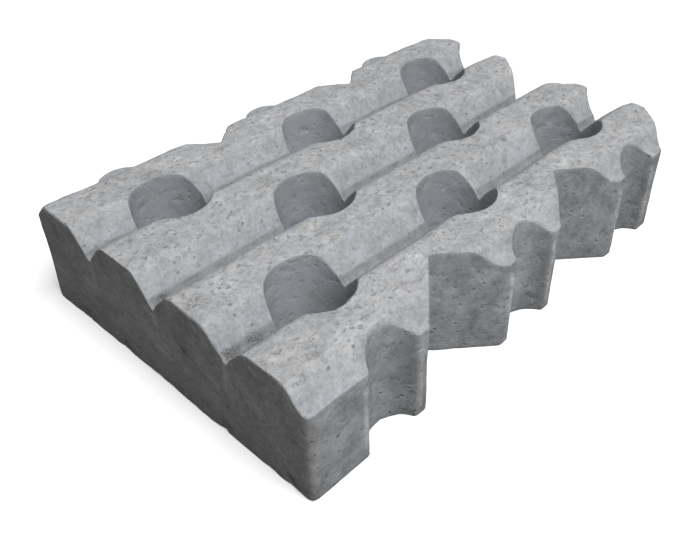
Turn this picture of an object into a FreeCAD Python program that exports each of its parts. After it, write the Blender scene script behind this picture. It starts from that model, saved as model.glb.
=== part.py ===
import FreeCAD, Part
import math
import os
from FreeCAD import Vector

# Lawn grid paver, cast in one piece of concrete. Millimetres, +Z up.
# X runs along the ribs, Y across them; the ribs are on top, the bed face is at z = 0.

# laying module: the stone plus the joint it leaves on each side
MODULE_LENGTH = 600.0
MODULE_WIDTH = 400.0
NEAR_JOINT = 3.0            # the stone starts this far inside the module at its straight end
END_JOINT = 5.0             # stops this far short of it at the notched end
SIDE_JOINT = 9.0            # this far short of it on the side with the lugs
EDGE_JOINT = 2.0            # and this far short of it on the side with the recesses
HEIGHT = 120.0              # bed face to the crest of the ribs

# ribs and the troughs between them
RIB_COUNT = 4
CREST_WIDTH = 50.0          # level top of one rib
SLOPE_DROP = 22.5           # crest down to the foot of a slope
GROOVE_WIDTH = 9.0          # narrow groove at the bottom of each trough
GROOVE_DROP = 6.5           # foot of the slopes down to the bottom of the groove
LEDGE_DROP = 19.0           # crest down to the level strip along both long sides
SLOPE_RUN_PER_DROP = 0.88   # how far a slope spreads out for each millimetre it falls

# openings for the grass
COLUMN_COUNT = 3            # round holes in one full row
HOLE_DIAMETER = 80.0
NOTCH_MOUTH = 118.0         # width of a notch where it meets the module edge
NOTCH_DEPTH = 52.0          # module edge to the point of the notch

# half-round recesses, and the half-round lugs that reach into a neighbour's recesses
RECESS_RADIUS = 31.5
RECESS_DEPTH = 21.0
LUG_RADIUS = 29.0
LUG_REACH = 22.0

# rounding of the cast edges
SHOULDER_RADIUS = 14.0      # crest into slope
FOOT_RADIUS = 4.0           # slope into groove, slope into ledge
GROOVE_RADIUS = 2.5         # bottom of the groove
CORNER_RADIUS = 6.0         # upright corners of the notches
TOOTH_RADIUS = 2.5          # upright edges beside the half-round recesses
LUG_ROOT_RADIUS = 3.0       # upright corner where a lug leaves the side
END_CORNER_RADIUS = 5.0     # upright corners of the straight end
BED_CHAMFER = 1.5           # around the holes on the bed face

# worked out from the sizes above
RIB_PITCH = MODULE_WIDTH / RIB_COUNT
HOLE_PITCH = MODULE_LENGTH / COLUMN_COUNT
BODY_LENGTH = MODULE_LENGTH - NEAR_JOINT - END_JOINT
OVERALL_WIDTH = MODULE_WIDTH - EDGE_JOINT - SIDE_JOINT + LUG_REACH
RECESS_SIDE = -OVERALL_WIDTH / 2.0
LUG_SIDE = OVERALL_WIDTH / 2.0 - LUG_REACH
NEAR_END = -BODY_LENGTH / 2.0
FAR_END = BODY_LENGTH / 2.0
MARGIN = 20.0               # cutting shapes stand this far clear of what they cut


def station(steps):
    """X of a place this many hole pitches from the module edge at the straight end."""
    return NEAR_END - NEAR_JOINT + steps * HOLE_PITCH


def line(ribs):
    """Y of a place this many rib pitches from the module edge on the recess side."""
    return RECESS_SIDE - EDGE_JOINT + ribs * RIB_PITCH


def rounded_wire(corners):
    """Closed wire in the YZ plane at X = 0 through (y, z, radius) corners, each rounded by its own arc."""
    count = len(corners)
    edges = []
    ends = []
    for i, (y, z, radius) in enumerate(corners):
        here = Vector(0, y, z)
        if radius == 0:
            ends.append((here, None, here))
            continue
        before = Vector(0, *corners[i - 1][:2]) - here
        after = Vector(0, *corners[(i + 1) % count][:2]) - here
        before.normalize()
        after.normalize()
        half = before.getAngle(after) / 2.0
        reach = radius / math.tan(half)
        middle = before + after
        middle.normalize()
        bulge = here + middle * (radius / math.sin(half) - radius)
        ends.append((here + before * reach, bulge, here + after * reach))
    for i, (start, bulge, stop) in enumerate(ends):
        if bulge is not None:
            edges.append(Part.Arc(start, bulge, stop).toShape())
        edges.append(Part.makeLine(stop, ends[(i + 1) % count][0]))
    return Part.Wire(edges)


def section():
    """Cross section through the ribs, carried the whole length of the stone."""
    half_crest = CREST_WIDTH / 2.0
    foot = HEIGHT - SLOPE_DROP
    ledge = HEIGHT - LEDGE_DROP
    ledge_run = half_crest + LEDGE_DROP * SLOPE_RUN_PER_DROP
    half_foot = RIB_PITCH / 2.0 - GROOVE_WIDTH / 2.0
    corners = [(RECESS_SIDE, 0, 0), (RECESS_SIDE, ledge, 0)]
    for rib in range(RIB_COUNT):
        middle = line(rib + 0.5)
        if rib == 0:
            corners.append((middle - ledge_run, ledge, FOOT_RADIUS))
        else:
            corners.append((middle - half_foot, foot, FOOT_RADIUS))
        corners.append((middle - half_crest, HEIGHT, SHOULDER_RADIUS))
        corners.append((middle + half_crest, HEIGHT, SHOULDER_RADIUS))
        if rib == RIB_COUNT - 1:
            corners.append((middle + ledge_run, ledge, FOOT_RADIUS))
        else:
            corners.append((middle + half_foot, foot, FOOT_RADIUS))
            corners.append((line(rib + 1), foot - GROOVE_DROP, GROOVE_RADIUS))
    corners += [(OVERALL_WIDTH / 2.0, ledge, 0), (OVERALL_WIDTH / 2.0, 0, 0)]
    face = Part.Face(rounded_wire(corners))
    face.translate(Vector(NEAR_END, 0, 0))
    return face.extrude(Vector(BODY_LENGTH, 0, 0))


def diamond(x, y, along, across):
    """Upright prism on a diamond that reaches this far from its middle along and across the ribs."""
    points = [(-along, 0), (0, -across), (along, 0), (0, across), (-along, 0)]
    wire = Part.makePolygon([Vector(x + a, y + b, 0) for a, b in points])
    return Part.Face(wire).extrude(Vector(0, 0, HEIGHT))


def post(x, y, radius):
    """Upright cylinder as tall as the stone."""
    return Part.makeCylinder(radius, HEIGHT, Vector(x, y, 0))


def round_upright(shape, places, radius):
    """Rounds the upright edges standing at the given (x, y) places."""
    found = []
    for edge in shape.Edges:
        a, b = edge.Vertexes[0].Point, edge.Vertexes[-1].Point
        if abs(a.z - b.z) < HEIGHT / 2.0:
            continue
        if any(math.hypot(a.x - x, a.y - y) < 0.01 for x, y in places):
            found.append(edge)
    if len(found) != len(places):
        raise ValueError("found %d of %d upright edges" % (len(found), len(places)))
    return shape.makeFillet(radius, found)


def plan():
    """Upright prism on the plan outline: notches, recesses and lugs, no round holes."""
    width = LUG_SIDE - RECESS_SIDE
    block = Part.makeBox(BODY_LENGTH, width, HEIGHT, Vector(NEAR_END, RECESS_SIDE, 0))
    half_mouth = NOTCH_MOUTH / 2.0
    spread = half_mouth / NOTCH_DEPTH
    end_x = station(COLUMN_COUNT)
    end_mouth = half_mouth - END_JOINT * spread

    cutters = []
    corners = []
    for y, side, inward in ((line(0), RECESS_SIDE, 1), (line(RIB_COUNT), LUG_SIDE, -1)):
        joint = abs(side - y)
        mouth = half_mouth - joint * spread
        for step in range(1, COLUMN_COUNT):
            x = station(step)
            cutters.append(diamond(x, y, half_mouth, NOTCH_DEPTH))
            corners += [(x - mouth, side), (x + mouth, side), (x, y + inward * NOTCH_DEPTH)]
        cutters.append(diamond(end_x, y, NOTCH_DEPTH, half_mouth))
        corners += [(end_x - NOTCH_DEPTH + joint / spread, side), (FAR_END, y + inward * end_mouth)]
    middle = line(2)
    cutters.append(diamond(end_x, middle, NOTCH_DEPTH, half_mouth))
    corners += [(end_x - NOTCH_DEPTH, middle), (FAR_END, middle - end_mouth), (FAR_END, middle + end_mouth)]

    teeth = []
    roots = []
    outside = RECESS_RADIUS - RECESS_DEPTH
    half_chord = math.sqrt(RECESS_RADIUS ** 2 - outside ** 2)
    inside = LUG_RADIUS - LUG_REACH
    half_root = math.sqrt(LUG_RADIUS ** 2 - inside ** 2)
    lugs = []
    for column in range(COLUMN_COUNT):
        x = station(column + 0.5)
        cutters.append(post(x, RECESS_SIDE - outside, RECESS_RADIUS))
        teeth += [(x - half_chord, RECESS_SIDE), (x + half_chord, RECESS_SIDE)]
        lugs.append(post(x, LUG_SIDE - inside, LUG_RADIUS))
        roots += [(x - half_root, LUG_SIDE), (x + half_root, LUG_SIDE)]
    for y in (line(1), line(3)):
        cutters.append(post(FAR_END + outside, y, RECESS_RADIUS))
        teeth += [(FAR_END, y - half_chord), (FAR_END, y + half_chord)]

    shape = block.cut(cutters).fuse(lugs).removeSplitter()
    shape = round_upright(shape, corners, CORNER_RADIUS)
    shape = round_upright(shape, teeth, TOOTH_RADIUS)
    shape = round_upright(shape, roots, LUG_ROOT_RADIUS)
    ends = [(NEAR_END, RECESS_SIDE), (NEAR_END, LUG_SIDE)]
    return round_upright(shape, ends, END_CORNER_RADIUS)


def hole(x, y):
    """Round hole from bed to top, flared a little where it meets the bed face."""
    radius = HOLE_DIAMETER / 2.0
    bore = Part.makeCylinder(radius, HEIGHT + 2 * MARGIN, Vector(x, y, -MARGIN))
    flare = Part.makeCone(radius + BED_CHAMFER, radius, BED_CHAMFER, Vector(x, y, 0))
    return bore.fuse(flare)


def paver():
    """The whole stone."""
    body = plan().common(section())
    holes = []
    for row in (1, 3):
        holes += [hole(station(column + 0.5), line(row)) for column in range(COLUMN_COUNT)]
    holes += [hole(station(step), line(2)) for step in range(1, COLUMN_COUNT)]
    return body.cut(holes).removeSplitter()


os.makedirs("parts", exist_ok=True)
stone = paver()
if len(stone.Solids) != 1 or not stone.isValid():
    raise ValueError("the stone is not one sound solid")
stone = stone.Solids[0]
stone.exportStep("parts/paver.step")
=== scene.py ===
from itertools import product
from math import radians

import bpy
import numpy as np
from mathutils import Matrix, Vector
from mathutils.geometry import delaunay_2d_cdt


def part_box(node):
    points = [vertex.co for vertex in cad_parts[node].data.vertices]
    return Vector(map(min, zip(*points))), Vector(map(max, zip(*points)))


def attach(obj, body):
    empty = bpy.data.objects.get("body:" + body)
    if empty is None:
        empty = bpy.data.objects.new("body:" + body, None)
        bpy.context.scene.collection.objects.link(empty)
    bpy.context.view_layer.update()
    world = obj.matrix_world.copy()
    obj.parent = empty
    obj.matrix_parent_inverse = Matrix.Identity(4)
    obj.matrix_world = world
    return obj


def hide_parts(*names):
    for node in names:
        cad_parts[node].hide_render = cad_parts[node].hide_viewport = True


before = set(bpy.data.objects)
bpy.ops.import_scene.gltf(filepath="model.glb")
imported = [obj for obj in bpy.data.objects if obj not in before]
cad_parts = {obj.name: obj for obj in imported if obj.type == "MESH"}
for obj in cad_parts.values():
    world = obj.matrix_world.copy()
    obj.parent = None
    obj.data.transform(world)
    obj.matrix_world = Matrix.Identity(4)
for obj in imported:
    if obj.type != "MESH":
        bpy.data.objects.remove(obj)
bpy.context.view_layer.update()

bl_info = {
    "name": "Lawn Grid Paver",
    "version": (1, 0, 0),
    "blender": (4, 5, 0),
    "location": "3D View > Sidebar > Paver",
    "description": "Builds a ribbed concrete lawn grid stone with its studio",
    "category": "Add Mesh",
}

NODE = "paver"
LOW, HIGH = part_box(NODE)
MM = 1000.0

# fine sizes of the cast face, in millimetres
GROOVE_WALL_RUN = 2.2       # steep wall under each slope, measured across the rib
GROOVE_WALL_SHARE = 0.8     # part of the groove's depth that this wall takes
SHOULDER_REACH = 11.0       # half the stretch over which shoulders are rounded
GROOVE_REACH = 2.0          # the same close to a groove
PATH_STEP = 0.5             # spacing of the outline while its corners are rounded
CORNER_SPAN = 7             # outline steps to each side that round a corner
END_CORNER_SPAN = 16        # the same at the straight end's corners
FIN_OFFSET = 34.5           # middle of a recess to the casting fin beside it
FIN_REACH = 1.5             # how far a fin stands out
ARC_POINTS = 41             # points on each half-round recess or lug
RIM_ROWS = 5                # rows of points around the rounded rim
FOOT_ROWS = 4               # rows of points around the ragged foot

# the shading and the studio
BUMP_DISTANCE = 0.0022      # height of the shaded grain, in metres
FLOOR_HALF = 4.0            # middle of the floor to its edges, in metres
FLOOR_LIFT = 0.22           # glow that whitens the floor and leaves the shadow
LAMP_PLACE = (-0.35, -2.45, 5.05)   # in metres
LAMP_SIZE = (3.2, 3.4)      # in metres
CAMERA_PLACE = (-0.5564, -0.5208, 0.5604)   # in metres
CAMERA_TURN = (52.08, -0.56, -47.67)        # in degrees
CAMERA_LENS = 41.98         # in millimetres
CAMERA_SHIFT = (-0.0588, -0.0048)   # in widths of the picture


# ---------------------------------------------------------------- settings

def length(name, value, text):
    return bpy.props.FloatProperty(name=name, description=text, default=value, min=0.0,
                                   precision=4, unit="LENGTH", subtype="DISTANCE")


def colour(name, value, text):
    return bpy.props.FloatVectorProperty(name=name, description=text, default=value,
                                         min=0.0, max=1.0, size=3, subtype="COLOR")


def amount(name, value, text):
    return bpy.props.FloatProperty(name=name, description=text, default=value, min=0.0)


class PaverSizes(bpy.types.PropertyGroup):
    rib_pitch: length("Rib pitch", 0.100, "From the middle of one rib to the next")
    crest_width: length("Crest width", 0.050, "Level top of one rib")
    slope_drop: length("Slope drop", 0.0225, "Crest down to the foot of a slope")
    groove_width: length("Groove width", 0.009, "Narrow groove at the bottom of each trough")
    groove_drop: length("Groove drop", 0.0065, "Foot of the slopes down to the groove's bottom")
    ledge_drop: length("Ledge drop", 0.019, "Crest down to the strip along the long sides")
    ledge_run: length("Ledge run", 0.0167, "How far the outer slopes spread out")
    hole_pitch: length("Hole pitch", 0.200, "From one round hole to the next along the ribs")
    hole_diameter: length("Hole diameter", 0.080, "Round through holes")
    near_joint: length("Near joint", 0.003, "Straight end to the edge of the laying module")
    edge_joint: length("Edge joint", 0.002, "Recess side to the edge of the laying module")
    notch_mouth: length("Notch mouth", 0.118, "Width of a notch at the edge of the laying module")
    notch_depth: length("Notch depth", 0.052, "Edge of the laying module to the notch's point")
    recess_radius: length("Recess radius", 0.0315, "Half-round recesses")
    recess_depth: length("Recess depth", 0.021, "How far the recesses reach in")
    lug_radius: length("Lug radius", 0.029, "Half-round lugs")
    lug_reach: length("Lug reach", 0.022, "How far the lugs stand out")
    rim: length("Rim rounding", 0.0020, "Rounding where the top meets an upright wall")
    grain: length("Surface grid", 0.0025, "Spacing of points over the ribbed top")
    wall_step: length("Wall step", 0.0029, "Spacing of points along and down the walls")


class PaverLook(bpy.types.PropertyGroup):
    concrete: colour("Concrete", (0.405, 0.415, 0.428), "Dry cast concrete")
    dirt: colour("Dirt", (0.17, 0.168, 0.165), "Pits, pores and the bottoms of the grooves")
    bloom: colour("Lime bloom", (0.60, 0.60, 0.59), "Pale lime patches")
    warm: colour("Warm patches", (0.47, 0.435, 0.415), "Faint sandy patches")
    cool: colour("Cool skin", (0.362, 0.386, 0.411), "Smooth skin on the slopes and walls")
    # darker than the concrete as painted shade on the straight end, which the light reaches less, and
    # greyer in hue
    end: colour("End face", (0.355, 0.352, 0.352), "Straight end, greyer than the rest")
    bore: colour("Hole skin", (0.425, 0.450, 0.475), "Smooth skin inside the holes")
    key: amount("Key light", 330.0, "Power of the large lamp overhead, in watts")
    ambient: amount("Ambient", 0.18, "Strength of the light from all round")
    floor: colour("Floor", (0.97, 0.97, 0.97), "Pale floor as it is seen")
    bounce: colour("Floor bounce", (0.17, 0.17, 0.17), "Floor as it lights the stone")


# ------------------------------------------------------------- small tools

RANDOM_TABLE = np.random.default_rng(7).random((32, 32, 32))


def noise(points, size, seed=0.0):
    """Smooth random value between -1 and 1 at each point: a fixed random table read at the
    eight corners of the point's cell and blended with the weight f*f*(3 - 2f) on each axis."""
    q = points / size + seed * 7.31
    cell = np.floor(q).astype(int)
    f = q - cell
    f = f * f * (3.0 - 2.0 * f)
    total = np.zeros(len(points))
    for corner in product((0, 1), repeat=3):
        weight = np.prod(np.where(corner, f, 1.0 - f), axis=1)
        i, j, k = ((cell + corner) % 32).T
        total += weight * RANDOM_TABLE[i, j, k]
    return 2.0 * total - 1.0


def ease(value, start, stop):
    """0 below start, 1 above stop, smooth between."""
    t = np.clip((value - start) / (stop - start), 0.0, 1.0)
    return t * t * (3.0 - 2.0 * t)


class Plan:
    """Every size in millimetres, with the places that follow from them."""

    def __init__(self, sizes):
        for key in PaverSizes.__annotations__:
            setattr(self, key, getattr(sizes, key) * MM)
        self.x0, self.y0 = LOW[0] * MM, LOW[1] * MM
        self.x1, self.y1 = HIGH[0] * MM, HIGH[1] * MM - self.lug_reach
        self.top = HIGH[2] * MM
        self.ribs = int(round((self.y1 - self.y0) / self.rib_pitch))
        self.columns = int(round((self.x1 - self.x0) / self.hole_pitch))

    def station(self, steps):
        return self.x0 - self.near_joint + steps * self.hole_pitch

    def line(self, ribs):
        return self.y0 - self.edge_joint + ribs * self.rib_pitch

    def holes(self):
        """Centres of the round holes."""
        found = [(self.station(c + 0.5), self.line(r)) for r in (1, 3) for c in range(self.columns)]
        return found + [(self.station(c), self.line(2)) for c in range(1, self.columns)]

    def outline(self):
        """Corners and arc points of the plan outline, counterclockwise."""
        half, depth = self.notch_mouth / 2, self.notch_depth
        spread = half / depth
        low, high = self.line(0), self.line(self.ribs)
        joint_low, joint_high = self.y0 - low, high - self.y1
        mouth_low, mouth_high = half - joint_low * spread, half - joint_high * spread
        end_x = self.station(self.columns)
        end_cut = half - (end_x - self.x1) * spread
        end_low, end_high = end_x - depth + joint_low / spread, end_x - depth + joint_high / spread
        outside = self.recess_radius - self.recess_depth
        inside = self.lug_radius - self.lug_reach
        sweep = np.arccos(outside / self.recess_radius)
        bow = np.pi - np.arccos(inside / self.lug_radius)
        steps = np.linspace(-1, 1, ARC_POINTS)

        def arc(x, y, radius, middle, reach):
            angle = middle + steps * reach
            return list(zip(x + radius * np.cos(angle), y + radius * np.sin(angle)))

        path = [(self.x0, self.y0)]
        for c in range(self.columns):
            x = self.station(c + 0.5)
            path += arc(x, self.y0 - outside, self.recess_radius, np.pi / 2, -sweep)
            notch = self.station(c + 1)
            if c < self.columns - 1:
                path += [(notch - mouth_low, self.y0), (notch, low + depth),
                         (notch + mouth_low, self.y0)]
        path += [(end_low, self.y0), (self.x1, low + end_cut)]
        path += arc(self.x1 + outside, self.line(1), self.recess_radius, np.pi, -sweep)
        path += [(self.x1, self.line(2) - end_cut), (end_x - depth, self.line(2)),
                 (self.x1, self.line(2) + end_cut)]
        path += arc(self.x1 + outside, self.line(3), self.recess_radius, np.pi, -sweep)
        path += [(self.x1, high - end_cut), (end_high, self.y1)]
        for c in reversed(range(self.columns)):
            path += arc(self.station(c + 0.5), self.y1 - inside, self.lug_radius, np.pi / 2, bow)
            notch = self.station(c)
            if c:
                path += [(notch + mouth_high, self.y1), (notch, high - depth),
                         (notch - mouth_high, self.y1)]
        path.append((self.x0, self.y1))
        return np.array(path)


def even(path, step):
    """The closed path walked at even steps."""
    closed = np.vstack([path, path[:1]])
    run = np.concatenate([[0], np.cumsum(np.hypot(*np.diff(closed, axis=0).T))])
    count = int(round(run[-1] / step))
    at = np.linspace(0, run[-1], count, endpoint=False)
    return np.stack([np.interp(at, run, closed[:, 0]), np.interp(at, run, closed[:, 1])], 1)


def soften(path, half):
    """Running mean along a closed path, which rounds its corners."""
    weights = np.hanning(2 * half + 3)[1:-1]
    shifted = [np.roll(path, k, axis=0) * w for k, w in zip(range(-half, half + 1), weights)]
    return sum(shifted) / weights.sum()


def loops(plan):
    """Outline counterclockwise and holes clockwise, so the open side is always on the right."""
    path = even(plan.outline(), PATH_STEP)
    at_end = 1.0 - ease(path[:, :1], plan.x0 + 15.0, plan.x0 + 30.0)
    path = soften(path, CORNER_SPAN) * (1.0 - at_end) + soften(path, END_CORNER_SPAN) * at_end
    outline = even(path, plan.wall_step)
    count = int(round(np.pi * plan.hole_diameter / plan.wall_step))
    turn = -np.linspace(0, 2 * np.pi, count, endpoint=False)
    ring = np.stack([np.cos(turn), np.sin(turn)], 1) * plan.hole_diameter / 2
    return [outline] + [ring + centre for centre in plan.holes()]


def flat_points(xy):
    """Plan points at height 0."""
    return np.column_stack([xy, np.zeros(len(xy))])


def crest_place(plan, xy):
    """Distance of each plan point from the middle of its rib, and whether it is on an outer flank."""
    rib = np.clip(np.floor((xy[:, 1] - plan.line(0)) / plan.rib_pitch), 0, plan.ribs - 1)
    offset = xy[:, 1] - plan.line(0) - (rib + 0.5) * plan.rib_pitch
    outer = ((rib == 0) & (offset < 0)) | ((rib == plan.ribs - 1) & (offset > 0))
    return np.abs(offset), outer


def ribbed(plan, xy):
    """Height of the ribbed top: level crest, slope, groove or ledge, as straight runs from one
    corner to the next, rounded by a weighted mean over a short stretch across the rib."""
    half = plan.crest_width / 2
    foot = plan.rib_pitch / 2 - plan.groove_width / 2
    knots = [0, half, foot, foot + GROOVE_WALL_RUN, plan.rib_pitch / 2]
    drops = [0, 0, -plan.slope_drop, -plan.slope_drop - GROOVE_WALL_SHARE * plan.groove_drop,
             -plan.slope_drop - plan.groove_drop]

    def mean(reach):
        total, weight = 0.0, 0.0
        for t in np.linspace(-1, 1, 9):
            share = 1.0 + np.cos(np.pi * t) + 0.05
            offset, outer = crest_place(plan, xy + (0.0, t * reach))
            inner = np.interp(offset, knots, drops)
            flank = np.interp(offset, [0, half, half + plan.ledge_run], [0, 0, -plan.ledge_drop])
            total = total + share * np.where(outer, flank, inner)
            weight += share
        return total / weight

    offset, outer = crest_place(plan, xy)
    wide, narrow = mean(SHOULDER_REACH), mean(GROOVE_REACH)
    return plan.top + wide + (narrow - wide) * np.where(outer, 0.0, ease(offset, 34.0, 41.0))


def relief(plan, xy):
    """Unevenness of the cast top: slow waves, knobbly crest with open pits, calmer slopes."""
    spot = flat_points(xy)
    offset, outer = crest_place(plan, xy)
    crest = 1.0 - ease(offset + 6.0 * noise(spot, 24.0, 1), 19.0, 40.0)
    rough = 0.40 + 0.60 * crest
    height = 0.6 * noise(spot, 75.0, 2) + rough * (0.50 * noise(spot, 19.0, 3) + 0.30 * noise(spot, 7.5, 4))
    crowd = ease(noise(spot, 38.0, 5), -0.3, 0.6)
    pits = ease(noise(spot, 6.6, 6), 0.36, 0.85) * (0.15 + 0.85 * crest) * (0.25 + 0.9 * crowd)
    lumps = ease(noise(spot, 9.0, 7), 0.35, 0.85) * crest
    groove = ease(offset + 1.5 * noise(spot, 9.0, 10), 41.5, 47.0) * ~outer
    height += 0.45 * lumps - 1.25 * pits
    height += groove * (1.3 * noise(spot, 16.0, 8) + 0.9 * noise(spot, 6.0, 9))
    return height, crest, pits, groove


class Places:
    """Points on the stone told from its own features, in millimetres: along is from the straight
    end, across is from the middle of a rib, and height is above the bed."""

    def __init__(self, plan):
        self.plan = plan

    def on_crest(self, rib, across, along):
        return self.plan.x0 + along, self.plan.line(rib + 0.5) + across, self.plan.top - 1.0

    def in_groove(self, valley, along):
        foot = self.plan.top - self.plan.slope_drop
        return self.plan.x0 + along, self.plan.line(valley) + 2.5, foot - 4.0

    def on_straight_end(self, from_corner, height):
        return self.plan.x0, self.plan.y0 + from_corner, height

    def on_long_side(self, along, height):
        return self.plan.x0 + along, self.plan.y0, height

    def in_notch(self, number, out, height):
        """On the wall that rises from a side notch's point towards the far end."""
        rise = self.plan.notch_depth * (1.0 - out / (self.plan.notch_mouth / 2))
        return self.plan.station(number) + out, self.plan.line(0) + rise, height

    def worn(self):
        """Chipped, crumbled or stained patches: point, radius and depth."""
        return (
            (self.in_groove(1, 10), 11, 2.2), (self.in_groove(1, 35), 10, 2.0),
            (self.in_groove(1, 55), 8, 1.4), (self.in_groove(2, 15), 8, 1.6),
            (self.in_groove(2, 35), 6, 1.0), (self.in_groove(3, 10), 6, 0.8),
            (self.on_straight_end(160, 65), 6, 1.6), (self.on_straight_end(170, 70), 4, 1.2),
            (self.on_straight_end(25, 8), 7, 2.4), (self.on_straight_end(110, 6), 9, 2.0),
            (self.on_straight_end(265, 5), 8, 2.0), (self.on_straight_end(335, 5), 7, 2.2),
            (self.on_long_side(40, 60), 2.2, 1.5), (self.on_long_side(15, 20), 2.4, 1.5),
            (self.in_notch(1, 35, 95), 2.6, 2.6), (self.in_notch(2, 25, 30), 5, 0.8),
            (self.in_notch(2, 40, 10), 6, 1.0),
            (self.on_crest(0, -30, 25), 20, 0.5), (self.on_crest(0, -10, 40), 13, 1.0),
            (self.on_crest(0, 10, 90), 12, 1.0), (self.on_crest(0, 10, 355), 12, 1.0),
            (self.on_crest(1, 0, 15), 12, 1.2), (self.on_crest(1, -20, 125), 7, 1.4),
            (self.on_crest(1, -20, 415), 8, 2.0), (self.on_crest(2, 5, 175), 12, 1.0),
            (self.on_crest(2, 0, 445), 10, 1.0), (self.on_crest(3, 0, 105), 13, 0.8),
        )

    def limed(self):
        """Pale blots on the crests: point and radius."""
        return (
            (self.on_crest(0, 5, 415), 14), (self.on_crest(1, -5, 200), 14),
            (self.on_crest(1, 15, 90), 9), (self.on_crest(1, 0, 395), 12),
            (self.on_crest(2, -25, 275), 14), (self.on_crest(2, 0, 335), 12),
            (self.on_crest(2, 0, 495), 10), (self.on_crest(3, 5, 265), 13),
        )


def nearness(points, place, radius, core, edge):
    """1 inside core radii of a place, 0 outside edge radii, smooth between."""
    return 1.0 - ease(np.sqrt(((points - place) ** 2).sum(1)) / radius, core, edge)


def worn(plan, points):
    """Depth and dirtiness of the worn places at each point: round patches with crumbled edges."""
    crumble = 0.35 + 0.65 * ease(noise(points, 5.0, 51), -0.3, 0.4)
    depth, dirty = np.zeros(len(points)), np.zeros(len(points))
    for place, radius, deep in Places(plan).worn():
        near = nearness(points, place, radius, 0.35, 1.25)
        depth = np.maximum(depth, near * deep * crumble)
        dirty = np.maximum(dirty, near * crumble * min(1.0, deep / 1.6))
    return depth, dirty


def limed(plan, points):
    """How pale each point is: lime on the crests and thin streaks below the grooves on the end."""
    blot = ease(noise(points, 8.0, 52) + 0.5 * noise(points, 3.5, 53), -0.1, 0.5)
    pale = np.zeros(len(points))
    for place, radius in Places(plan).limed():
        pale = np.maximum(pale, nearness(points, place, radius, 0.3, 1.2) * blot)
    on_end = 1.0 - ease(points[:, 0], plan.x0 + 1.5, plan.x0 + 6.0)
    for rib in range(1, plan.ribs):
        beside = np.abs(points[:, 1] - plan.line(rib) + 3.0 * noise(points, 40.0, 54))
        streak = (1.0 - ease(beside, 1.5, 8.0)) * ease(points[:, 2], 30.0, 80.0)
        pale = np.maximum(pale, 0.45 * on_end * streak)
    return pale


def waver(xy):
    """Plan points shifted a little across the ribs, so shoulders and grooves don't run dead straight."""
    spot = flat_points(xy)
    shift = 1.1 * noise(spot, 60.0, 11) + 0.8 * noise(spot, 16.0, 12)
    return xy + np.column_stack([np.zeros(len(xy)), shift])


def top_height(plan, xy):
    """Full height of the top surface in millimetres."""
    bare = ribbed(plan, waver(xy))
    return bare + relief(plan, xy)[0] - worn(plan, np.column_stack([xy, bare]))[0]


def turned_right(points, following, previous):
    """Unit normals to the right of travel along the loops."""
    along = points[following] - points[previous]
    along /= np.hypot(*along.T)[:, None]
    return np.column_stack([along[:, 1], -along[:, 0]])


def triangles(points, edges, keep):
    """Triangles over plan points that hold to the given edges, where keep(middle) is true."""
    result = delaunay_2d_cdt(points.tolist(), edges.tolist(), [], 0, 1e-6)
    if len(result[0]) != len(points):
        raise RuntimeError("the plan's loops cross")
    faces = np.array(result[2])
    a, b, c = points[faces].transpose(1, 0, 2)
    area = (b[:, 0] - a[:, 0]) * (c[:, 1] - a[:, 1]) - (b[:, 1] - a[:, 1]) * (c[:, 0] - a[:, 0])
    faces = np.where(area[:, None] > 0, faces, faces[:, ::-1])
    return faces[keep((a + b + c) / 3.0) & (np.abs(area) > 1e-6)]


def within(points, ring):
    """Whether each point lies inside a closed ring, by counting the sides it sees to its right."""
    a, b = ring, np.roll(ring, -1, axis=0)
    found = np.zeros(len(points), bool)
    for part in np.array_split(np.arange(len(points)), max(1, len(points) // 4000)):
        x, y = points[part, 0][:, None], points[part, 1][:, None]
        straddle = (a[:, 1] > y) != (b[:, 1] > y)
        rise = np.where(b[:, 1] == a[:, 1], 1.0, b[:, 1] - a[:, 1])
        cross = a[:, 0] + (y - a[:, 1]) * (b[:, 0] - a[:, 0]) / rise
        found[part] = (straddle & (x < cross)).sum(1) % 2 == 1
    return found


def gap_to(points, others):
    """Distance from each point to the nearest of the others."""
    nearest = np.empty(len(points))
    for part in np.array_split(np.arange(len(points)), max(1, len(points) // 3000)):
        d = points[part][:, None, :] - others[None, :, :]
        nearest[part] = np.sqrt((d ** 2).sum(2).min(1))
    return nearest


def side_fins(plan, points):
    """Thin upright casting fins on the long side, one on either side of each half-round recess."""
    x, y, z = points.T
    beside = np.full(len(points), 99.0)
    for c in range(plan.columns):
        offset = np.abs(x - plan.station(c + 0.5)) - FIN_OFFSET
        beside = np.minimum(beside, np.abs(offset + 0.8 * noise(points, 30.0, 21)))
    near = 1.0 - ease(np.abs(y - plan.y0), 1.0, 3.0)
    tall = ease(z, 4.0, 12.0) * (1.0 - ease(z, 78.0, 90.0))
    return (1.0 - ease(beside, 1.4, 4.2)) * near * tall


def far_side_shade_and_dirt(plan, points):
    """Painted shade and real dirt in the far side of each half-round recess along the long side, where the
    wall curves away from the light.
    """
    x, y, z = points.T
    held = np.zeros(len(points))
    for c in range(plan.columns):
        along = (x - plan.station(c + 0.5)) / plan.recess_radius
        held = np.maximum(held, ease(along, 0.20, 0.70) * (1.0 - ease(along, 0.98, 1.05)))
    return held * (1.0 - ease(y, plan.y0 + 22.0, plan.y0 + 26.0)) * (1.0 - 0.4 * ease(z, 40.0, 100.0))


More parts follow.
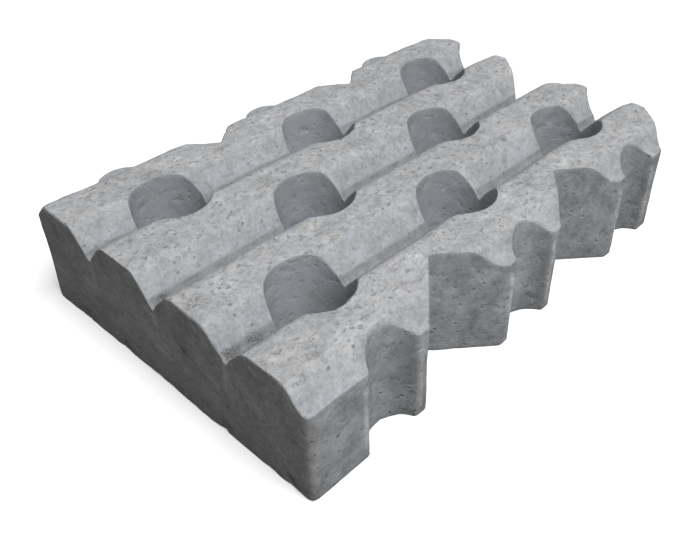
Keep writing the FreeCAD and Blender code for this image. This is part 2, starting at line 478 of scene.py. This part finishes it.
def stone_surface(plan):
    """Points, faces and surface marks of the whole stone. Loops inset by a rounding radius carry
    a quarter-round rim, an upright wall and a small ragged foot; the ribbed top fills in between
    the inset loops on an even grid and the bed closes the foot."""
    rings = loops(plan)
    wall = np.vstack(rings)
    sizes = [len(r) for r in rings]
    starts = np.cumsum([0] + sizes[:-1])
    following = np.concatenate([s + (np.arange(n) + 1) % n for s, n in zip(starts, sizes)])
    previous = np.concatenate([s + (np.arange(n) - 1) % n for s, n in zip(starts, sizes)])
    out = turned_right(wall, following, previous)
    count = len(wall)

    # rounding radius along each loop: worn, with a few chips, but never tighter than a corner allows
    spot = flat_points(wall)
    bend = ((out[following] - out[previous]) * (wall[following] - wall[previous])).sum(1)
    bend /= ((wall[following] - wall[previous]) ** 2).sum(1)
    room = 0.62 / np.maximum(bend, 1e-3)
    for _ in range(3):
        room = np.minimum(room, np.minimum(room[following], room[previous]) + 0.6)
    chips = ease(noise(spot, 9.0, 31), 0.35, 0.8) * ease(noise(spot, 34.0, 32), -0.3, 0.5)
    at_end = 1.0 - ease(wall[:, 0], plan.x0 + 2.0, plan.x0 + 20.0)
    blunt = 5.0 * at_end * ease(wall[:, 1], plan.y1 - 25.0, plan.y1 - 5.0)
    rim = plan.rim * (0.75 + 0.35 * noise(spot, 12.0, 33)) + (2.2 + 1.2 * at_end) * chips + blunt
    rim = np.minimum(rim, room)
    ragged = ease(noise(spot, 9.0, 34), 0.0, 0.9) + at_end * 0.4 * ease(noise(spot, 26.0, 35), -0.1, 0.7)
    ragged += at_end * 0.8 * ease(noise(spot, 14.0, 36), 0.15, 0.60)
    foot = np.minimum(0.8 + 2.4 * ragged, room)

    # the profile, row by row, as (share of rim inset, share of rim drop) and then down the wall
    turn = np.linspace(0, np.pi / 2, RIM_ROWS)
    rows, marks = [], []
    for a in turn:
        xy = wall - out * (rim * (1 - np.sin(a)))[:, None]
        rows.append(np.column_stack([xy, top_height(plan, xy) - rim * (1 - np.cos(a))]))
        marks.append(np.sin(a))
    head = rows[-1][:, 2]
    depth = int(round((plan.top - plan.slope_drop) / plan.wall_step))
    for t in np.linspace(0, 1, depth)[1:]:
        rows.append(np.column_stack([wall, head + (foot - head) * t]))
        marks.append(1.0)
    for a in np.linspace(0, np.pi / 2, FOOT_ROWS)[1:]:
        xy = wall - out * (foot * (1 - np.cos(a)))[:, None]
        rows.append(np.column_stack([xy, foot * (1 - np.sin(a))]))
        marks.append(1.0)
    rows = np.array(rows)
    marks = np.array(marks)
    flat = rows.reshape(-1, 3)
    side = np.tile(out, (len(rows), 1))
    share = np.repeat(marks, count)
    fin = side_fins(plan, flat)
    end = 1.0 - ease(flat[:, 0], plan.x0 + 1.0, plan.x0 + 12.0)
    push = (0.45 + 0.5 * end) * noise(flat, 42.0, 41) + 0.24 * noise(flat, 13.0, 42)
    push += 0.10 * noise(flat, 6.5, 43) - 1.2 * ease(noise(flat, 7.0, 44), 0.60, 0.95)
    push += FIN_REACH * fin ** 2 - worn(plan, flat)[0]
    flat[:, :2] += side * (push * share)[:, None]

    # the top, on an even grid kept clear of the inset loops
    inset = flat[:count, :2]
    xs = np.arange(plan.x0, plan.x1 + plan.grain, plan.grain)
    ys = np.arange(plan.y0, HIGH[1] * MM + plan.grain, plan.grain * 0.93)
    gx, gy = np.meshgrid(xs, ys)
    gx = gx + np.where(np.arange(len(ys)) % 2, plan.grain / 2, 0.0)[:, None]
    grid = np.column_stack([gx.ravel(), gy.ravel()])
    edge = [inset[s:s + n] for s, n in zip(starts, sizes)]

    def solid(points, borders=edge):
        inside = within(points, borders[0])
        for hole in borders[1:]:
            middle = hole.mean(0)
            close = np.hypot(*(points - middle).T) < plan.hole_diameter
            inside[close] &= ~within(points[close], hole)
        return inside

    grid = grid[solid(grid)]
    grid = grid[gap_to(grid, inset) > plan.grain * 0.62]
    sheet = np.vstack([inset, grid])
    ring_edges = np.column_stack([np.arange(count), following])
    top = triangles(sheet, ring_edges, solid)
    top = np.where(top < count, top, top + len(flat) - count)
    crest, pits, groove = relief(plan, grid)[1:]
    lifted = np.column_stack([grid, top_height(plan, grid)])

    # the bed
    last = len(flat) - count
    base = flat[last:, :2]
    base_edge = [base[s:s + n] for s, n in zip(starts, sizes)]
    bed = triangles(base, ring_edges, lambda q: solid(q, base_edge))[:, ::-1] + last

    # walls, rim and foot as quads
    row = np.arange(len(rows) - 1)[:, None] * count
    here, ahead = np.arange(count), following
    quads = np.stack(np.broadcast_arrays(row + here, row + count + here,
                                         row + count + ahead, row + ahead), -1).reshape(-1, 4)

    points = np.vstack([flat, lifted]) / MM
    rim_crest, rim_pits, rim_groove = relief(plan, flat[:, :2])[1:]
    across, outer = crest_place(plan, waver(np.vstack([flat, lifted])[:, :2]))
    bore = share * np.tile(here >= sizes[0], len(rows))
    marks = {
        "crest": np.concatenate([rim_crest * (1 - share), crest]),
        "pits": np.concatenate([rim_pits * (1 - share), pits]),
        "groove": np.concatenate([rim_groove * (1 - share), groove]),
        "fin": np.concatenate([fin, np.zeros(len(grid))]),
        "scar": worn(plan, np.vstack([flat, lifted]))[1],
        "lime": limed(plan, np.vstack([flat, lifted])),
        "end": np.concatenate([end * share, np.zeros(len(grid))]),
        "flank": np.concatenate([share - bore, np.zeros(len(grid))]),
        "bore": np.concatenate([bore, np.zeros(len(grid))]),
        "across": np.where(outer, 0.0, across),
        "damp": np.concatenate([far_side_shade_and_dirt(plan, flat) * share, np.zeros(len(grid))]),
    }
    return points, quads, np.vstack([top, bed]), marks


def mesh_from(name, points, quads, tris, marks):
    """A smooth-shaded mesh from whole arrays, with one number per point for each mark."""
    mesh = bpy.data.meshes.new(name)
    corners = np.concatenate([quads.ravel(), tris.ravel()])
    sizes = np.concatenate([np.full(len(quads), 4), np.full(len(tris), 3)])
    mesh.vertices.add(len(points))
    mesh.vertices.foreach_set("co", points.astype(np.float32).ravel())
    mesh.loops.add(len(corners))
    mesh.loops.foreach_set("vertex_index", corners.astype(np.int32))
    mesh.polygons.add(len(sizes))
    mesh.polygons.foreach_set("loop_start", (np.cumsum(sizes) - sizes).astype(np.int32))
    mesh.polygons.foreach_set("use_smooth", np.ones(len(sizes), bool))
    mesh.update(calc_edges=True)
    for key, values in marks.items():
        mark = mesh.attributes.new(key, "FLOAT", "POINT")
        mark.data.foreach_set("value", values.astype(np.float32))
    if mesh.validate():
        raise RuntimeError("the mesh had faults")
    return mesh


# --------------------------------------------------------------- materials

class Wire:
    """One output in a material's node tree, with arithmetic that adds the nodes it needs."""

    def __init__(self, tree, socket=None):
        self.tree, self.socket = tree, socket

    def node(self, kind, settings=None, inputs=None, out=0):
        made = self.tree.nodes.new(kind)
        for key, value in (settings or {}).items():
            setattr(made, key, value)
        for key, value in (inputs or {}).items():
            if isinstance(value, Wire):
                self.tree.links.new(value.socket, made.inputs[key])
            else:
                made.inputs[key].default_value = value
        return Wire(self.tree, made.outputs[out]) if len(made.outputs) else None

    def math(self, operation, first, second):
        return self.node("ShaderNodeMath", {"operation": operation}, {0: first, 1: second})

    def __add__(self, other):
        return self.math("ADD", self, other)

    def __radd__(self, other):
        return self.math("ADD", other, self)

    def __sub__(self, other):
        return self.math("SUBTRACT", self, other)

    def __rsub__(self, other):
        return self.math("SUBTRACT", other, self)

    def __mul__(self, other):
        return self.math("MULTIPLY", self, other)

    def __rmul__(self, other):
        return self.math("MULTIPLY", other, self)

    def ramp(self, start, stop):
        """0 at start, 1 at stop, smooth between."""
        return self.node("ShaderNodeMapRange", {"interpolation_type": "SMOOTHSTEP"},
                         {"Value": self, "From Min": start, "From Max": stop})

    def mix(self, first, second):
        """Colour blend with this wire as its factor."""
        return self.node("ShaderNodeMix", {"data_type": "RGBA"}, {0: self, 6: first, 7: second}, 2)


def fresh_tree(name):
    material = bpy.data.materials.new(name)
    material.use_nodes = True
    tree = material.node_tree
    tree.nodes.clear()
    return material, Wire(tree)


def concrete(look):
    """Dry cast concrete: open-pored crests, smoother bluish slopes and walls, dirty grooves, and painted
    shade on the straight end, the slopes, the outer walls, down in the grooves and in the far sides of the
    recesses.
    """
    material, wire = fresh_tree("cast_concrete")
    place = wire.node("ShaderNodeTexCoord", out=3)
    stir = wire.node("ShaderNodeTexNoise", None, {"Vector": place, "Scale": MM / 4.0, "Detail": 1.0}, 1)
    swirl = wire.node("ShaderNodeVectorMath", {"operation": "SCALE"}, {0: stir, 3: 0.0030})
    ruffled = wire.node("ShaderNodeVectorMath", {"operation": "ADD"}, {0: place, 1: swirl})

    def grains(size_mm, detail=2.0, rough=0.6):
        return wire.node("ShaderNodeTexNoise", None,
                      {"Vector": place, "Scale": MM / size_mm, "Detail": detail, "Roughness": rough})

    def spots(size_mm, reach, share):
        """Round specks, at most one in each cell of this size, in about this share of the cells."""
        near = wire.node("ShaderNodeTexVoronoi", None, {"Vector": ruffled, "Scale": MM / size_mm})
        pick = wire.node("ShaderNodeTexVoronoi", None, {"Vector": ruffled, "Scale": MM / size_mm}, 1)
        kept = wire.node("ShaderNodeSeparateColor", None, {"Color": pick})
        return (1.0 - near.ramp(reach * 0.4, reach)) * kept.ramp(1.0 - share, 1.08 - share)

    def mark(name):
        return wire.node("ShaderNodeAttribute", {"attribute_name": name}, out=2)

    crest, pits, groove = mark("crest"), mark("pits"), mark("groove")
    fin, scar, lime, end = mark("fin"), mark("scar"), mark("lime"), mark("end")
    flank, bore, across, damp = mark("flank"), mark("bore"), mark("across"), mark("damp")
    sand, grit = grains(1.6, 0.0), grains(3.6, 1.0, 0.5)
    pebble, patch, cloud = grains(8.0, 2.0, 0.5), grains(20.0, 3.0), grains(80.0, 3.0)
    height_above = wire.node("ShaderNodeSeparateXYZ", None, {"Vector": place}, 2)
    top = 1.0 - flank - bore
    calm = 1.0 - bore * 0.55
    low = flank * (1.0 - height_above.ramp(0.0, 0.055))
    open_skin = 0.25 + 0.75 * crest
    hollow = grains(7.0, 2.0, 0.5).ramp(0.56, 0.70) * (0.35 + 0.65 * patch.ramp(0.42, 0.58)) * open_skin
    speck = spots(9.0, 0.24, 0.55) * (0.35 + 0.65 * patch.ramp(0.44, 0.56)) * calm
    dots = spots(4.5, 0.26, 0.40) * calm
    # painted shade: a darker band from the foot of each slope down into the groove, standing in for the
    # shade on the steep groove wall
    painted_groove_shade = (across + (patch - 0.5) * 3.0 + (pebble - 0.5) * 3.0 + (grit - 0.5) * 2.0).ramp(43.2, 45.0)
    painted_groove_shade = painted_groove_shade * top * (0.65 + 0.70 * patch.ramp(0.38, 0.60))

    skin = (1.0 - crest) * 0.50
    base = skin.mix((*look.concrete, 1.0), (*look.cool, 1.0))
    base = (bore * 0.8).mix(base, (*look.bore, 1.0))
    # painted shade: the straight end is mixed towards its darker, greyer colour
    base = (end * 0.8).mix(base, (*look.end, 1.0))
    warm = grains(28.0, 3.0).ramp(0.52, 0.68) * (0.10 + 0.90 * crest) * 0.40
    base = warm.mix(base, (*look.warm, 1.0))
    bloom = grains(13.0, 3.0).ramp(0.58, 0.72) * cloud.ramp(0.42, 0.58) * (0.12 + 0.88 * crest)
    pale = wire.node("ShaderNodeClamp", None, {"Value": bloom * 0.55 + lime * 0.75 + fin * 0.70})
    base = pale.mix(base, (*look.bloom, 1.0))
    soil = hollow * 0.34 + speck * 0.60 + dots * 0.50 + pits * 0.22
    soil = soil + groove * 0.30 * grit.ramp(0.50, 0.64) + scar * (0.15 + 1.00 * sand.ramp(0.44, 0.58))
    soil = soil + low * 0.45 * grit.ramp(0.50, 0.62) * patch.ramp(0.45, 0.60)
    # dark specks of dirt in the far sides of the recesses, which also take painted shade further down
    soil = soil + damp * 0.55 * grit.ramp(0.48, 0.62) * pebble.ramp(0.42, 0.56)
    base = wire.node("ShaderNodeClamp", None, {"Value": soil}).mix(base, (*look.dirt, 1.0))
    shade = (sand - 0.5) * 0.22 + (grit - 0.5) * 0.50 + (pebble - 0.5) * 0.50 + (patch - 0.5) * 0.55
    shade = 1.0 + shade * calm + (cloud - 0.5) * 0.45 + (patch - 0.5) * 0.55 * (flank - end * 0.85)
    # painted shade: the straight end, the slopes, the outer walls, the grooves and the far sides of the
    # recesses are darkened for how the light falls on them; low makes the outer walls darker towards the
    # bottom
    shade = shade * (1.0 - end * 0.14 - low * 0.09 - damp * 0.12 - painted_groove_shade * 0.24
                     - (1.0 - crest) * top * 0.07 - flank * 0.02)
    base = wire.node("ShaderNodeMix", {"data_type": "RGBA", "blend_type": "MULTIPLY"},
                  {0: 1.0, 6: base, 7: shade}, 2)

    height = grit * (0.04 + 0.30 * crest) + pebble * (0.16 + 0.70 * crest)
    height = height - hollow * 0.7 - speck * 0.35
    bump = wire.node("ShaderNodeBump", None, {"Height": height, "Strength": 0.8, "Distance": BUMP_DISTANCE})
    shader = wire.node("ShaderNodeBsdfPrincipled", None,
                    {"Base Color": base, "Roughness": 0.93, "Normal": bump,
                     "Specular IOR Level": 0.25})
    wire.node("ShaderNodeOutputMaterial", None, {"Surface": shader})
    return material


def floor_paint(look):
    """Pale to the eye, but darker to the light that it sends back up."""
    material, wire = fresh_tree("studio_floor")
    seen = wire.node("ShaderNodeLightPath", out=0)
    tone = seen.mix((*look.bounce, 1.0), (*look.floor, 1.0))
    lift = seen.mix((0.0, 0.0, 0.0, 1.0), (*(FLOOR_LIFT,) * 3, 1.0))
    shader = wire.node("ShaderNodeBsdfPrincipled", None,
                    {"Base Color": tone, "Roughness": 1.0, "Specular IOR Level": 0.0,
                     "Emission Color": lift, "Emission Strength": 1.0})
    wire.node("ShaderNodeOutputMaterial", None, {"Surface": shader})
    return material


# --------------------------------------------------------------- operators

class PAVER_OT_stone(bpy.types.Operator):
    """Build the cast stone over its solid"""
    bl_idname = "paver.stone"
    bl_label = "Stone"

    def execute(self, context):
        scene = context.scene
        points, quads, tris, marks = stone_surface(Plan(scene.paver_sizes))
        stone = bpy.data.objects.new("paver_cast", mesh_from("paver_cast", points, quads, tris, marks))
        scene.collection.objects.link(stone)
        stone.data.materials.append(concrete(scene.paver_look))
        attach(stone, "root")
        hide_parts(NODE)
        return {"FINISHED"}


class PAVER_OT_stage(bpy.types.Operator):
    """Set up the floor, the light and the camera"""
    bl_idname = "paver.stage"
    bl_label = "Stage"

    def execute(self, context):
        scene = context.scene
        look = scene.paver_look
        mesh = bpy.data.meshes.new("studio_floor")
        corners = [(x * FLOOR_HALF, y * FLOOR_HALF, 0) for x, y in ((-1, -1), (1, -1), (1, 1), (-1, 1))]
        mesh.from_pydata(corners, [], [(0, 1, 2, 3)])
        mesh.materials.append(floor_paint(look))
        floor = bpy.data.objects.new("studio_floor", mesh)
        scene.collection.objects.link(floor)

        lamp = bpy.data.lights.new("overhead", "AREA")
        lamp.shape = "RECTANGLE"
        lamp.size, lamp.size_y = LAMP_SIZE
        lamp.energy = look.key
        holder = bpy.data.objects.new("overhead", lamp)
        holder.location = LAMP_PLACE
        holder.rotation_euler = (Vector((0, 0, 0)) - holder.location).to_track_quat("-Z", "Y").to_euler()
        scene.collection.objects.link(holder)

        world = bpy.data.worlds.new("studio")
        world.use_nodes = True
        world.node_tree.nodes.clear()
        wire = Wire(world.node_tree)
        seen = wire.node("ShaderNodeLightPath", out=0)
        glow = seen.mix((*(look.ambient,) * 3, 1.0), (1.0, 1.0, 1.0, 1.0))
        back = wire.node("ShaderNodeBackground", None, {"Color": glow})
        wire.node("ShaderNodeOutputWorld", None, {"Surface": back})
        scene.world = world
        scene.view_settings.view_transform = "Standard"

        camera = bpy.data.cameras.new("camera")
        camera.lens = CAMERA_LENS
        camera.shift_x, camera.shift_y = CAMERA_SHIFT
        eye = bpy.data.objects.new("camera", camera)
        eye.location = CAMERA_PLACE
        eye.rotation_euler = [radians(turn) for turn in CAMERA_TURN]
        scene.collection.objects.link(eye)
        scene.camera = eye
        return {"FINISHED"}


class PAVER_PT_panel(bpy.types.Panel):
    bl_idname = "PAVER_PT_panel"
    bl_label = "Lawn Grid Paver"
    bl_space_type = "VIEW_3D"
    bl_region_type = "UI"
    bl_category = "Paver"

    def draw(self, context):
        for group in (context.scene.paver_sizes, context.scene.paver_look):
            column = self.layout.column()
            for key in group.__annotations__:
                column.prop(group, key)
        for operator in OPERATORS:
            self.layout.operator(operator.bl_idname)


OPERATORS = (PAVER_OT_stone, PAVER_OT_stage)
CLASSES = (PaverSizes, PaverLook) + OPERATORS + (PAVER_PT_panel,)


def register():
    for each in CLASSES:
        bpy.utils.register_class(each)
    bpy.types.Scene.paver_sizes = bpy.props.PointerProperty(type=PaverSizes)
    bpy.types.Scene.paver_look = bpy.props.PointerProperty(type=PaverLook)


def unregister():
    del bpy.types.Scene.paver_look
    del bpy.types.Scene.paver_sizes
    for each in reversed(CLASSES):
        bpy.utils.unregister_class(each)


def main():
    register()
    bpy.ops.paver.stone()
    bpy.ops.paver.stage()


if __name__ == "__main__":
    main()
